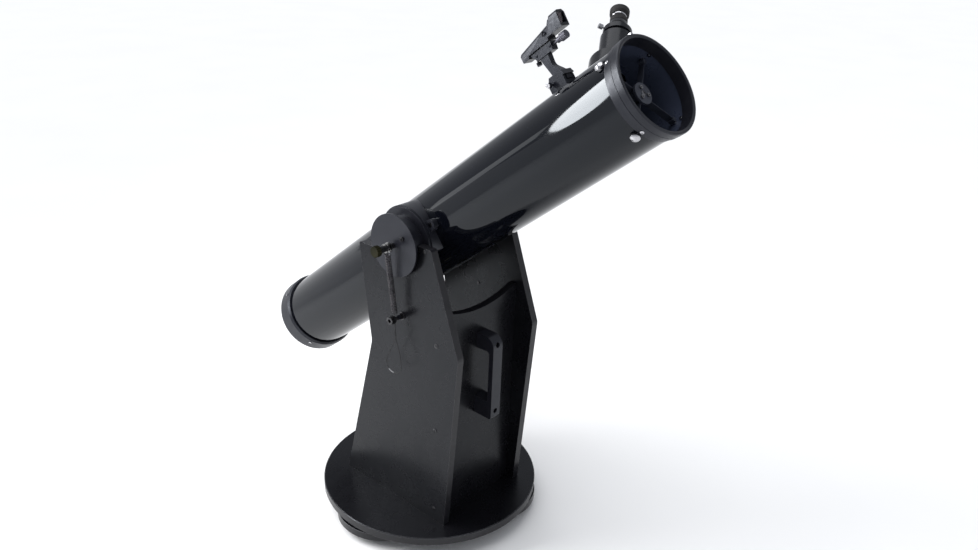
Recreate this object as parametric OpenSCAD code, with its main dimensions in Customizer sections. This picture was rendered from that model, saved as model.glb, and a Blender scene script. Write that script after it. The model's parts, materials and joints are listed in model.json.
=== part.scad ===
// Dobsonian reflector telescope: a Newtonian tube on a two-axis rocker base.
// Millimetres. +Z is up. The origin is on the azimuth axis at floor level.
// The tube points towards -Y, its altitude axis runs along X.

/* [Optical tube] */
// Outside diameter of the sheet steel tube
tube_d = 180; // [178:1:182]
// Wall of the tube
tube_wall = 1; // [0.8:0.1:1.5]
// Height of the tube above the horizon at rest, in degrees
altitude = 39; // [20:1:60]
// From the altitude axis to the front rim
front_reach = 636; // [626:1:646]
// From the altitude axis to the back of the mirror cell
rear_reach = 597; // [590:1:600]

/* [Optics] */
// Diameter of the primary mirror
mirror_d = 152; // [148:1:154]
// Focal length of the primary mirror
focal_length = 1250; // [1220:10:1260]
// Short axis of the flat secondary mirror
secondary_d = 34; // [30:1:36]
// From the altitude axis to the middle of the secondary mirror
focuser_s = 516; // [512:1:520]

/* [Rocker base] */
// Diameter of the turning disc
disc_d = 520; // [516:1:530]
// Thickness of the turning disc
disc_t = 20; // [18:1:22]
// Thickness of the side panels and the front board
panel_t = 18; // [17:1:19]
// Clear width between the side panels
panel_gap = 227; // [227:1:228]
// Height of the altitude axis over the turning disc
axis_height = 648; // [646:1:655]

/* [Ground board] */
// Thickness of the ground board
ground_t = 18; // [16:1:20]
// Height of the rubber feet
foot_h = 20; // [18:1:25]
// Radius of each rounded lobe of the ground board
lobe_r = 115; // [110:1:118]

/* [Altitude bearings] */
// Radius of the bearing's outer disc
drum_r = 68; // [66:1:68]
// Radius of the bearing where it runs on its pads
track_r = 57; // [56:1:58]
// Radius of the guide flange behind the side panel
flange_r = 74; // [73:1:76]

/* [Hidden] */
$fn = 96;
GAP = 0.3;                              // clearance between parts that move past each other
FIT = 0.05;                             // radial clearance of shafts and screws in their holes
EPS = 1;                                // overrun of cutting shapes

lobe_angles = [180, -60, 60];
lobe_offset = 148;
foot_r = 25;
foot_offset = 225;
pad_t = 3;
deck_z = foot_h + ground_t + pad_t + disc_t;
disc_z = deck_z - disc_t;

tube_r = tube_d / 2;
bore_r = tube_r - tube_wall;
panel_in = panel_gap / 2;
panel_out = panel_in + panel_t;
axis_y = -26;
axis_z = deck_z + axis_height;
notch_r = track_r + 3;

board_y = -142;                         // middle of the front board
board_h = 520;
board_dip = 20;
side_screws = [31, 241, 451];           // screws of the side panels, heights over the deck
horn_screw = [-104, 654];
deck_screws = [-120, 0, 110];           // screws through the disc into each side panel, along Y
handle_screws = [260, 426];
anchor = [-38, 485];                    // lower spring bolt, along Y and over the deck

face_x = 145.5;                         // outer face of the bearing drum
rib_x = 141.5;
track_x = 133;
flange_x = panel_in - GAP - 0.7;
saddle_x = 107;
saddle_r = 77;
saddle_drop = 50;                       // how far the saddle reaches below the tube's axis
lug_s = 82;                             // screws of the saddle's two lugs, along the tube
lug_r = 12;
rib_core = 9;                           // depth of the pockets between the ribs
bolt_s = 36.6;                          // bearing bolts, along the tube from the altitude axis

hook_in = 151;                          // lower spring hook, distance from the middle plane
hook_out = 163;                         // upper spring hook
hook_r = 6.4;
wire_r = 0.9;
coil_r = 6.5;

tube_front = front_reach - 11;
tube_rear = -rear_reach + 22;
front_ring_s = front_reach - 34;
rear_ring_s = -rear_reach + 47;
ring_screw_s = front_ring_s + 6;
focus_h = 212;                          // focal plane, from the tube's axis
mirror_s = focuser_s + focus_h - focal_length;      // rim of the mirror's polished face
mirror_t = 22;
cell_pitch = 58;                        // radius of the collimation bolts
spider_s = 592.5;
vane_angles = [45, 135, 225, 315];
third_angles = [90, 210, 330];

focuser_angle = 45;
base_r = 46;
body_r = 31;
draw_r = 22;
draw_bore = 18.5;
pinion_r = 6;                           // pitch radius of the focusing pinion
pinion_teeth = 12;
draw_low = 116;                         // inner end of the drawtube, from the tube's axis
rack_y = -26;                           // pitch line of the rack, from the drawtube's axis
pinion_h = 152;                         // height of the pinion shaft over the tube's axis
lock_h = 178;                           // lock screw of the drawtube
holder_h = 206;                         // underside of the eyepiece holder
holder_r = 28;
holder_t = 22;
clamp_angle = 75;                       // thumbscrew of the holder, turned from the mirror's side
barrel_r = 15.87;

shoe_s = [442, 482];                    // finder shoe, along the tube
shoe_top = 107;
foot_top = 117;
shoe_holes = [452, 472];
knob_h = 167;                           // brightness knob of the finder, from the tube's axis

// Route of the left pull cord from the lower spring hook, round its loop and back to the hook
CORD = [
    [-1, 0, -6], [-2, 0, -14], [-3, -3, -26], [-4, -6, -38], [-4, -2, -51], [-4, 6, -66], [-4, 14, -83],
    [-4, 22, -100], [-4, 24, -115], [-4, 16, -127], [-4, 2, -131], [-4, -12, -127], [-4, -21, -114],
    [-4, -21, -96], [-3, -16, -78], [-2, -9, -62], [-1, -2, -46], [0, 2, -32], [0.5, 2, -19], [1, 0, -6]
];
cord_r = 0.9;

// ---- placement ----

module on_axis() translate([0, axis_y, axis_z]) children();
// Tube frame: origin on the altitude axis, +Z along the tube, +Y on its upper side
module on_tube() on_axis() rotate([90 - altitude, 0, 0]) children();
// Focuser frame: +Z radially outwards, +X towards the mirror
module on_focuser()
    on_tube() translate([0, 0, focuser_s]) rotate([0, 0, focuser_angle]) rotate([0, 90, 0]) children();
module both_sides() {
    children();
    mirror([1, 0, 0]) children();
}
module at_polar(angles, radius) for (a = angles) rotate([0, 0, a]) translate([radius, 0, 0]) children();
module x_rod(x0, x1, r, sides = 96)
    translate([min(x0, x1), 0, 0]) rotate([0, 90, 0]) cylinder(r = r, h = abs(x1 - x0), $fn = sides);
module y_rod(y0, y1, r, sides = 96)
    translate([0, max(y0, y1), 0]) rotate([90, 0, 0]) cylinder(r = r, h = abs(y1 - y0), $fn = sides);
module z_rod(z0, z1, r, sides = 96)
    translate([0, 0, min(z0, z1)]) cylinder(r = r, h = abs(z1 - z0), $fn = sides);
module z_tube(z0, z1, r_out, r_in) difference() {
    z_rod(z0, z1, r_out);
    z_rod(z0 - EPS, z1 + EPS, r_in);
}
// Stands a flat outline, drawn along Y and Z, across X from x0
module across_x(x0, width) translate([x0, 0, 0]) rotate([90, 0, 90]) linear_extrude(width) children();
// Stands a flat outline, drawn along the tube and away from it, across the tube
module beside_tube(width) rotate([0, -90, 0]) linear_extrude(width, center = true) children();
// Straight part from a to b, drawn along +Z
module between(a, b) translate(a)
    rotate([0, acos((b[2] - a[2]) / norm(b - a)), atan2(b[1] - a[1], b[0] - a[0])]) children();

// ---- outlines ----

function unit(v) = v / norm(v);
// Arc that rounds the corner b between its neighbours a and c
function corner(a, b, c, r, steps) =
    let (u = unit(a - b), v = unit(c - b), half = acos(u * v) / 2,
         centre = b + unit(u + v) * r / sin(half),
         p = b + u * r / tan(half) - centre, q = b + v * r / tan(half) - centre,
         start = atan2(p[1], p[0]), sweep = (atan2(q[1], q[0]) - start + 540) % 360 - 180)
    [for (i = [0:steps]) centre + r * [cos(start + sweep * i / steps), sin(start + sweep * i / steps)]];
function rounded(points, radii, steps = 6) =
    let (n = len(points))
    [for (i = [0:n - 1]) each (radii[i] > 0
        ? corner(points[(i + n - 1) % n], points[i], points[(i + 1) % n], radii[i], steps) : [points[i]])];

// ---- fasteners ----

// Screw standing on z = 0 with its shank going down, cross recess in a domed head
module cross_screw(shank_r, shank_h, head_r, head_h) difference() {
    union() {
        z_rod(-shank_h, 0, shank_r, 24);
        intersection() {
            z_rod(0, head_h, head_r, 32);
            translate([0, 0, head_h - 2.2 * head_r]) sphere(r = 2.2 * head_r, $fn = 48);
        }
    }
    for (turn = [0, 90]) rotate([0, 0, turn])
        translate([-head_r * 0.55, -head_r * 0.11, head_h * 0.45]) cube([head_r * 1.1, head_r * 0.22, head_h]);
}
// Cap screw standing on z = 0 with a hexagon socket
module socket_screw(shank_r, shank_h, head_r, head_h) difference() {
    union() {
        z_rod(-shank_h, 0, shank_r, 24);
        z_rod(0, head_h, head_r, 32);
    }
    z_rod(head_h * 0.45, head_h + EPS, head_r * 0.5, 6);
}
// Round knob with flutes round its rim, from z = 0 upwards
module fluted_knob(r, h, flutes, flute_r) difference() {
    z_rod(0, h, r, 64);
    at_polar([for (i = [0:flutes - 1]) i * 360 / flutes], r + flute_r * 0.45)
        z_rod(-EPS, h + EPS, flute_r, 16);
}

// ---- ground board ----

module ground_board() color("#1c1c1e") difference() {
    translate([0, 0, foot_h]) linear_extrude(ground_t)
        polygon(rounded([for (a = lobe_angles) (lobe_offset + 2 * lobe_r) * [cos(a), sin(a)]],
            [for (a = lobe_angles) lobe_r], 24));
    z_rod(foot_h - EPS, foot_h + ground_t + EPS, 5 + FIT);
    at_polar(lobe_angles, foot_offset) z_rod(foot_h - EPS, foot_h + 14, 2.5);
}
module rubber_feet() color("#151515") at_polar(lobe_angles, foot_offset) difference() {
    cylinder(r1 = foot_r - 4, r2 = foot_r, h = foot_h);
    z_rod(-EPS, 8, 7, 32);
    z_rod(0, foot_h + EPS, 2.5, 24);
}
module foot_screws() color("#9a9a9c") at_polar(lobe_angles, foot_offset)
    translate([0, 0, 8]) mirror([0, 0, 1]) cross_screw(2.5 - FIT, foot_h - 8 + 12, 5, 3);
module azimuth_pads() color("#e8e8e4") at_polar(lobe_angles, 185)
    translate([-20, -20, foot_h + ground_t]) cube([40, 40, pad_t - GAP]);
module azimuth_bolt() color("#b4b6b8") {
    z_rod(foot_h - 6.4, foot_h, 8.5, 6);
    z_rod(foot_h, deck_z + 15, 5, 48);
}
module azimuth_nut() color("#b4b6b8") {
    z_tube(deck_z + GAP, deck_z + GAP + 2, 12, 5 + FIT);
    difference() {
        z_rod(deck_z + GAP + 2, deck_z + GAP + 11, 8.5, 6);
        z_rod(deck_z, deck_z + 20, 5 + FIT);
    }
}

// ---- rocker ----

module azimuth_bush() color("#ececea") z_tube(disc_z, deck_z, 8, 5 + FIT);
module base_screw_places() {
    both_sides() for (y = deck_screws) translate([panel_in + panel_t / 2, y, disc_z]) children();
    for (x = [-80, 80]) translate([x, board_y, disc_z]) children();
}
module rocker_disc() color("#1d1d1f") difference() {
    rotate_extrude() polygon([[0, disc_z], [disc_d / 2 - 1.5, disc_z], [disc_d / 2, disc_z + 1.5],
        [disc_d / 2, deck_z - 1.5], [disc_d / 2 - 1.5, deck_z], [0, deck_z]]);
    z_rod(disc_z - EPS, deck_z + EPS, 8 + FIT);
    base_screw_places() {
        z_rod(-EPS, 5, 5.5, 32);
        z_rod(0, disc_t + EPS, 2.5 + FIT, 24);
    }
}
// Outline of a side panel over the deck, along Y and Z: swept forward, then back to two horns
panel_outline = rounded(
    [[154, 0], [60, 388], [96, 619], [axis_y, 619], [axis_y, 661], [-122, 661], [-204, 438], [-173, 0]],
    [0, 40, 5, 0, 0, 6, 24, 0]);
module left_panel_shape() difference() {
    translate([0, 0, deck_z]) across_x(-panel_out, panel_t) polygon(panel_outline);
    on_axis() x_rod(-panel_out - EPS, -panel_in + EPS, notch_r);
    for (z = side_screws) translate([0, board_y, deck_z + z])
        x_rod(-panel_out - EPS, -panel_in + EPS, 3 + FIT, 24);
    translate([0, horn_screw[0], deck_z + horn_screw[1]]) x_rod(-panel_out - EPS, -panel_out + 12, 2.5 + FIT, 24);
    translate([0, anchor[0], deck_z + anchor[1]]) x_rod(-panel_out - EPS, -panel_in + EPS, 4 + FIT);
    for (y = deck_screws) translate([-panel_in - panel_t / 2, y, deck_z - EPS]) z_rod(0, 27, 2.5 + FIT, 24);
}
module left_side_panel() color("#202022") left_panel_shape();
module right_side_panel() color("#202022") mirror([1, 0, 0]) left_panel_shape();
module front_board() color("#1e1e20") difference() {
    translate([-panel_in, board_y - panel_t / 2, deck_z]) cube([panel_gap, panel_t, board_h]);
    translate([0, board_y, deck_z + board_h - board_dip]) {
        sag_r = (105 * 105 + board_dip * board_dip) / (2 * board_dip);
        translate([0, 0, sag_r]) y_rod(-panel_t, panel_t, sag_r, 256);
    }
    both_sides() for (z = side_screws) translate([0, board_y, deck_z + z])
        x_rod(-panel_in - EPS, -panel_in + 33, 3 + FIT, 24);
    for (z = handle_screws) translate([0, board_y, deck_z + z]) y_rod(-panel_t, panel_t, 2.5 + FIT, 24);
    for (x = [-80, 80]) translate([x, board_y, deck_z - EPS]) z_rod(0, 27, 2.5 + FIT, 24);
}
module board_screws() color("#2a2a2c") {
    base_screw_places() translate([0, 0, 5]) mirror([0, 0, 1]) cross_screw(2.5, disc_t + 20, 5, 3);
    both_sides() {
        for (z = side_screws) translate([-panel_out, board_y, deck_z + z]) rotate([0, -90, 0])
            cross_screw(3, 50, 5.2, 2);
        translate([-panel_out, horn_screw[0], deck_z + horn_screw[1]]) rotate([0, -90, 0])
            cross_screw(2.5, 11, 4.5, 1.6);
    }
    for (z = handle_screws) translate([0, board_y - panel_t / 2 - handle_d + 9, deck_z + z]) rotate([90, 0, 0])
        cross_screw(2.5, handle_d - 9 + panel_t, 5, 3);
}
pad_angle = 37;
module altitude_pads() color("#f2f2ee") both_sides() on_axis() for (end = [0, 1]) mirror([0, end, 0])
    intersection() {
        difference() {
            x_rod(-panel_out + 0.5, -panel_in - 0.5, notch_r - FIT);
            x_rod(-panel_out, -panel_in, track_r + GAP);
        }
        rotate([pad_angle, 0, 0]) translate([-panel_out, -notch_r - EPS, -12]) cube([panel_t, 20, 24]);
    }

handle_w = 30;
handle_d = 50;
// Side view of the handle: distance from the board and height over the deck
handle_outline = rounded([[0, 242], [50, 242], [50, 444], [0, 444]], [0, 5, 24, 0]);
handle_window = rounded([[-EPS, 286], [38, 284], [38, 410], [-EPS, 408]], [0, 5, 7, 0]);
module carry_handle() color("#17181a") difference() {
    translate([0, board_y - panel_t / 2, deck_z]) mirror([0, 1, 0]) across_x(-handle_w / 2, handle_w)
        difference() {
            polygon(handle_outline);
            polygon(handle_window);
        }
    for (z = handle_screws) translate([0, board_y - panel_t / 2, deck_z + z]) {
        y_rod(-handle_d - EPS, EPS, 2.5 + FIT, 24);
        y_rod(-handle_d - EPS, -handle_d + 9, 6, 32);
    }
}

// ---- tension springs ----

module at_anchor() both_sides() translate([0, anchor[0], deck_z + anchor[1]]) children();
module anchor_bolts() color("#b9b29a") at_anchor() {
    difference() {
        union() {
            x_rod(-157, -panel_in + 1.5, 4, 32);
            x_rod(-168, -157, 9, 48);
        }
        x_rod(-169, -162, 4.5, 6);
    }
    for (ring = [[-panel_out - 8, 6.3, 7.5, 6], [-panel_out - 1.7, 1.7, 9.5, 48]]) difference() {
        x_rod(ring[0], ring[0] + ring[1], ring[2], ring[3]);
        x_rod(ring[0] - EPS, ring[0] + 8, 4 + FIT);
    }
}
module anchor_spacers() color("#161616") at_anchor()
    for (stack = [[-147, -panel_out - 8, 5.5], [-157, -154.5, 8]]) difference() {
        x_rod(stack[0], stack[1], stack[2], 48);
        x_rod(stack[0] - EPS, stack[1] + EPS, 4 + FIT);
    }
upper_hook = [-hook_out, axis_y, axis_z];
lower_hook = [-hook_in, anchor[0], deck_z + anchor[1]];
module hook(place, radius) translate(place) rotate([0, 90, 0])
    rotate_extrude() translate([radius, 0]) circle(r = wire_r, $fn = 24);
module left_spring() {
    span = norm(lower_hook - upper_hook);
    hook(upper_hook, hook_r);
    hook(lower_hook, 5.4);
    between(upper_hook, lower_hook) {
        z_rod(hook_r, 15, wire_r, 24);
        z_tube(14.5, span - 14.5, coil_r, coil_r - 2 * wire_r);
        z_rod(14, 15, coil_r, 48);
        z_rod(span - 15, span - 14, coil_r, 48);
        z_rod(span - 15, span - 5.4, wire_r, 24);
    }
}
module tension_springs() color("#77787a") both_sides() left_spring();

// Adds a point halfway along each stretch, on the smooth curve through all the points
function smooth(p) = let (last = len(p) - 1)
    [for (i = [0:last]) each (i == last ? [p[i]]
        : [p[i], (9 * (p[i] + p[i + 1]) - p[max(i - 1, 0)] - p[min(i + 2, last)]) / 16])];
// Ring of eight points, square to the route
function cord_ring(route, i) =
    let (last = len(route) - 1, way = unit(route[min(i + 1, last)] - route[max(i - 1, 0)]),
         side = [1, 0, 0] - way * way[0], u = unit(side), v = cross(way, u))
    [for (k = [0:7]) route[i] + cord_r * (u * cos(45 * k) + v * sin(45 * k))];
module left_cord_shape() {
    route = smooth(CORD);
    n = len(route);
    translate(lower_hook) polyhedron(
        points = [for (i = [0:n - 1]) each cord_ring(route, i)],
        faces = concat(
            [[for (k = [0:7]) k]],
            [for (i = [0:n - 2], k = [0:7])
                [8 * i + k, 8 * (i + 1) + k, 8 * (i + 1) + (k + 1) % 8, 8 * i + (k + 1) % 8]],
            [[for (k = [7:-1:0]) 8 * (n - 1) + k]]));
}
module left_pull_cord() color("#1a1a1a") left_cord_shape();
module right_pull_cord() color("#1a1a1a") mirror([1, 0, 0]) left_cord_shape();

// ---- altitude bearings ----

module at_bearing_bolts() on_axis() rotate([90 - altitude, 0, 0])
    for (s = [-bolt_s, bolt_s]) translate([0, 0, s]) children();
module left_bearing_shape() difference() {
    union() {
        on_axis() {
            x_rod(-face_x, -rib_x, drum_r, 128);
            for (a = [0:15:345]) rotate([a + 7.5, 0, 0])
                translate([-rib_x - 0.5, -1.5, 0]) cube([rib_x + 1 - track_x, 3, track_r - 0.5]);
            x_rod(-rib_x, -track_x, track_r - rib_core, 96);
            x_rod(-track_x, -flange_x, track_r, 128);
            x_rod(-flange_x, -saddle_x, flange_r, 128);
        }
        on_tube() intersection() {
            x_rod(-saddle_x, -45, saddle_r, 128);
            translate([-saddle_x - 1, -saddle_drop, -saddle_r - 1])
                cube([saddle_x, saddle_drop + saddle_r + 1, 2 * saddle_r + 2]);
        }
        on_tube() for (end = [-1, 1]) {
            translate([-saddle_x + 5, -lug_r, end > 0 ? lug_s - 25 : -lug_s]) cube([20, 2 * lug_r, 25]);
            translate([0, 0, end * lug_s]) x_rod(-saddle_x + 5, -saddle_x + 25, lug_r, 48);
        }
    }
    on_tube() z_rod(-150, 150, tube_r + FIT, 128);
    on_axis() x_rod(-face_x - EPS, -80, 4 + FIT);
    at_bearing_bolts() x_rod(-face_x - EPS, -80, 3 + FIT);
    on_tube() for (s = [-lug_s, lug_s]) translate([0, 0, s]) {
        x_rod(-saddle_x, -97, 6, 32);
        x_rod(-saddle_x, -80, 2 + FIT, 24);
    }
}
module left_bearing() color("#2b2c2f") left_bearing_shape();
module right_bearing() color("#2b2c2f") mirror([1, 0, 0]) left_bearing_shape();
module bearing_bolts() color("#6c6d70") both_sides() {
    at_bearing_bolts() {
        translate([-face_x, 0, 0]) rotate([0, -90, 0]) socket_screw(3, 62, 5, 3.5);
        difference() {
            x_rod(-bore_r + 0.5, -bore_r + 5.5, 5.5, 6);
            x_rod(-bore_r - EPS, -bore_r + 7, 3 + FIT);
        }
    }
    on_tube() for (s = [-lug_s, lug_s]) translate([-97, 0, s]) rotate([0, -90, 0]) cross_screw(2, 14, 4, 2);
}
module spring_posts() color("#b4b6b8") both_sides() on_axis() {
    x_rod(-190, -83, 4, 32);
    difference() {
        x_rod(-bore_r + 1, -bore_r + 6, 7, 6);
        x_rod(-bore_r - EPS, -bore_r + 7, 4 + FIT);
    }
}
// Stack on each spring post, from the bearing outwards: [start, end, radius]
post_stack = [[face_x, 157, 6], [157, 159, 11], [159, 167, 5.2], [167, 169, 10], [169, 184, 7.5], [184, 186, 10]];
module post_spacers() color("#39393b") both_sides() on_axis() for (p = post_stack) difference() {
    x_rod(-p[1], -p[0], p[2], 48);
    x_rod(-p[1] - EPS, -p[0] + EPS, 4 + FIT);
}
module left_knob_shape() on_axis() difference() {
    translate([-186 - GAP, 0, 0]) rotate([0, -90, 0]) fluted_knob(12, 11, 16, 2);
    x_rod(-191, -180, 4 + FIT);
}
module left_post_knob() color("#2b2b22") left_knob_shape();
module right_post_knob() color("#2b2b22") mirror([1, 0, 0]) left_knob_shape();

// ---- tube ----

module optical_tube() color("#0d0e11") on_tube() difference() {
    z_tube(tube_rear, tube_front, tube_r, bore_r);
    both_sides() {
        x_rod(-tube_r - EPS, -bore_r + EPS, 4 + FIT);
        for (s = [-bolt_s, bolt_s]) translate([0, 0, s]) x_rod(-tube_r - 2, -bore_r + EPS, 3 + FIT);
        for (s = [-lug_s, lug_s]) translate([0, 0, s]) x_rod(-tube_r - 2, -bore_r + EPS, 2 + FIT, 24);
    }
    for (a = vane_angles) rotate([0, 0, a]) {
        translate([0, 0, spider_s]) x_rod(80, 100, 2.5 + FIT, 24);
        translate([0, 0, ring_screw_s]) x_rod(80, 100, 2 + FIT, 24);
        translate([0, 0, rear_ring_s - 16]) x_rod(80, 100, 2 + FIT, 24);
    }
    translate([0, 0, focuser_s]) rotate([0, 0, focuser_angle]) x_rod(70, 110, 26);
    for (s = shoe_holes) translate([0, 0, s]) rotate([0, 0, 90]) x_rod(80, 100, 2 + FIT, 24);
}
module front_ring() color("#26272a") on_tube() difference() {
    rotate_extrude($fn = 128) polygon([
        [tube_r + FIT, front_ring_s], [tube_r + 1.4, front_ring_s], [tube_r + 1.6, front_ring_s + 10],
        [tube_r + 4.2, front_ring_s + 11], [tube_r + 4.6, front_ring_s + 18], [tube_r + 4, front_ring_s + 18.5],
        [tube_r + 4, front_ring_s + 19.5], [tube_r + 5, front_ring_s + 20], [tube_r + 5.2, front_reach - 2],
        [tube_r + 4, front_reach], [tube_r + 1, front_reach], [tube_r - 2, front_reach - 1.5],
        [tube_r - 4.2, front_ring_s + 10.5], [bore_r - FIT, front_ring_s + 10.5], [bore_r - FIT, tube_front],
        [tube_r + FIT, tube_front]]);
    for (a = vane_angles) rotate([0, 0, a]) translate([0, 0, ring_screw_s]) x_rod(80, 110, 2 + FIT, 24);
}
module rear_ring() color("#26272a") on_tube() difference() {
    union() {
        rotate_extrude($fn = 128) polygon([
            [tube_r + FIT, rear_ring_s], [tube_r + 3.5, rear_ring_s], [tube_r + 6.8, rear_ring_s - 7],
            [tube_r + 7, -rear_reach + 4], [tube_r + 4, -rear_reach], [tube_r - 7, -rear_reach],
            [tube_r - 7, -rear_reach + 6], [tube_r - 5, -rear_reach + 6], [tube_r - 5, tube_rear],
            [tube_r + FIT, tube_rear]]);
        z_rod(-rear_reach + 6, -rear_reach + 14, 32);
        for (a = third_angles) rotate([0, 0, a]) translate([20, -14, -rear_reach + 6]) cube([66, 28, 8]);
    }
    at_polar(third_angles, cell_pitch) z_rod(-rear_reach, -rear_reach + 20, 3 + FIT);
    at_polar(third_angles, cell_pitch - 22) z_rod(-rear_reach, -rear_reach + 20, 2.5 + FIT);
    for (a = vane_angles) rotate([0, 0, a]) translate([0, 0, rear_ring_s - 16]) x_rod(80, 110, 2 + FIT, 24);
}
module tube_screws() color("#d6d8da") on_tube() for (a = vane_angles) rotate([0, 0, a]) {
    translate([tube_r + 1.6, 0, ring_screw_s]) rotate([0, 90, 0]) cross_screw(2, 5.5, 3.6, 2.2);
    translate([0, 0, ring_screw_s]) difference() {
        x_rod(bore_r - 2.6, bore_r - 0.3, 3.6, 6);
        x_rod(bore_r - 4, bore_r, 2 + FIT, 24);
    }
    translate([tube_r + 7, 0, rear_ring_s - 16]) rotate([0, 90, 0]) cross_screw(2, 9, 3.6, 2.2);
    if (a == vane_angles[0]) for (s = shoe_holes) rotate([0, 0, 45]) translate([93.5, 0, s])
        rotate([0, 90, 0]) cross_screw(2, 7, 3.6, 2.2);
}

// ---- primary mirror ----

cell_s = mirror_s - mirror_t - 10;      // underside of the tilting cell
module mirror_cell() color("#3a3b3e") on_tube() difference() {
    union() {
        z_rod(cell_s, cell_s + 10, mirror_d / 2 + 3);
        for (a = third_angles) rotate([0, 0, a + 60])
            translate([mirror_d / 2 + 0.5, -9, cell_s]) cube([5.5, 18, mirror_t + 10]);
    }
    at_polar([for (a = third_angles) a + 60], 50) z_rod(cell_s - EPS, cell_s + 12, 12);
    at_polar(third_angles, cell_pitch) z_rod(cell_s - EPS, cell_s + 12, 3 + FIT);
    z_rod(cell_s - EPS, cell_s + 12, 22);
}
module primary_mirror() color("#cfd8e2") on_tube() difference() {
    z_rod(mirror_s - mirror_t, mirror_s, mirror_d / 2, 128);
    sag = mirror_d * mirror_d / (16 * focal_length);
    translate([0, 0, mirror_s - sag + 2 * focal_length]) sphere(r = 2 * focal_length, $fn = 200);
}
module mirror_clips() color("#161616") on_tube() for (a = third_angles) rotate([0, 0, a + 60])
    translate([mirror_d / 2 - 4, -7, mirror_s]) {
        cube([10, 14, 2]);
        translate([7, 7, 2]) z_rod(0, 2, 3, 24);
    }
module collimation_springs() color("#a4a6a8") on_tube() at_polar(third_angles, cell_pitch)
    z_tube(-rear_reach + 14, cell_s, 7, 5);
module collimation_knob(angle) color("#2c2c2e") on_tube() rotate([0, 0, angle]) translate([cell_pitch, 0, 0]) {
    z_rod(-rear_reach - 8, cell_s + 9, 3, 32);
    translate([0, 0, -rear_reach - 8]) fluted_knob(11, 14 - GAP, 14, 1.8);
}
module cell_lock_screws() color("#c4c6c8") on_tube() at_polar(third_angles, cell_pitch - 22)
    translate([0, 0, -rear_reach + 6]) mirror([0, 0, 1]) socket_screw(2.5, cell_s + rear_reach - 6, 5, 6);

// ---- spider and secondary ----

hub_r = 14;
module spider_vanes() color("#101114") on_tube() for (a = vane_angles) rotate([0, 0, a]) {
    translate([hub_r, -0.5, spider_s - 8]) cube([bore_r - 11 - hub_r, 1, 14]);
    difference() {
        translate([bore_r - 11, -4, spider_s - 6]) cube([7.6, 8, 12]);
        translate([0, 0, spider_s]) x_rod(bore_r - 10, bore_r + EPS, 2.5 + FIT, 24);
    }
}
module spider_hub() color("#17181b") on_tube() difference() {
    union() {
        z_rod(spider_s - 9, spider_s + 6, hub_r);
        z_rod(spider_s + 6, spider_s + 10.5, 20.5);
    }
    z_rod(spider_s - 10, spider_s + 12, 3 + FIT);
    at_polar(third_angles, 11) z_rod(spider_s - 10, spider_s + 12, 2 + FIT, 24);
}
module vane_nuts() color("#e6e7e9") on_tube() for (a = vane_angles) rotate([0, 0, a])
    translate([0, 0, spider_s]) {
        x_rod(bore_r - 9, tube_r + 4, 2.5, 24);
        difference() {
            x_rod(bore_r - 3.2, bore_r - 0.5, 5.2, 6);
            x_rod(bore_r - 4, bore_r, 2.5 + FIT, 24);
        }
        translate([tube_r + 0.4, 0, 0]) rotate([0, 90, 0]) {
            z_rod(0, 1.2, 7.5, 48);
            intersection() {
                z_rod(1.2, 10, 9, 48);
                translate([0, 0, -1.2]) sphere(r = 11.2, $fn = 64);
            }
        }
    }
module secondary_holder() color("#17181b") on_tube() difference() {
    z_rod(focuser_s - 10, spider_s - 16, secondary_d / 2 - 1);
    translate([0, 0, focuser_s]) rotate([0, 0, focuser_angle]) rotate([0, -45, 0])
        translate([-60, -60, -60 + 6]) cube([120, 120, 60]);
    z_rod(spider_s - 30, spider_s, 3 + FIT);
}
module secondary_mirror() color("#cfd8e2") on_tube() intersection() {
    z_rod(focuser_s - 40, focuser_s + 60, secondary_d / 2);
    translate([0, 0, focuser_s]) rotate([0, 0, focuser_angle]) rotate([0, -45, 0])
        translate([-60, -60, 0]) cube([120, 120, 6]);
}
module secondary_screws() color("#c4c6c8") on_tube() {
    translate([0, 0, spider_s + 10.5]) cross_screw(3, 38, 5, 2);
    at_polar(third_angles, 11) translate([0, 0, spider_s + 10.5]) socket_screw(2, 26.5, 3.4, 3);
}

// ---- focuser ----

module focuser_base() color("#1a1b1e") difference() {
    on_focuser() difference() {
        union() {
            z_rod(60, 128, base_r);
            translate([0, 0, 128]) cylinder(r1 = base_r, r2 = body_r, h = 16);
            z_rod(144, 196, body_r);
            translate([-15, rack_y - 18, 126]) cube([30, 34, 38]);
        }
        z_rod(50, 200, draw_r + FIT);
        translate([-5.3, rack_y - 1.2, 50]) cube([10.6, 12, 160]);
        translate([0, rack_y - pinion_r, pinion_h]) {
            x_rod(-17, 17, 3 + FIT);
            x_rod(-7, 7, pinion_r + 2);
        }
        translate([0, 0, lock_h]) x_rod(-body_r - EPS, 0, 2 + FIT, 24);
    }
    on_tube() z_rod(focuser_s - 100, focuser_s + 100, tube_r + FIT, 128);
}
// Half width of a pinion tooth at radius r: an involute of 20 degrees, thinned for backlash
function involute_half(r) =
    let (a = acos(pinion_r * cos(20) / r), curl = tan(a) * 180 / PI - a, curl_0 = tan(20) * 180 / PI - 20)
    r * sin(90 / pinion_teeth + curl_0 - curl) - 0.12;
pinion_tooth = [for (r = [5.65, 6, 6.4, 6.8]) [involute_half(r), r]];
module focuser_drawtube() color("#2a2b2e") on_focuser() difference() {
    pitch = 2 * PI * pinion_r / pinion_teeth;
    union() {
        z_rod(draw_low, holder_h, draw_r);
        translate([-5, rack_y + 1, draw_low]) cube([10, 8, 58]);
        for (i = [-11:4]) translate([-5, rack_y, pinion_h + (i + 0.5) * pitch]) rotate([90, 0, 90])
            linear_extrude(10) polygon([[1.1, 1.07], [-0.7, 0.42], [-0.7, -0.42], [1.1, -1.07]]);
    }
    z_rod(draw_low - EPS, holder_h + EPS, draw_bore);
}
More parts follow.
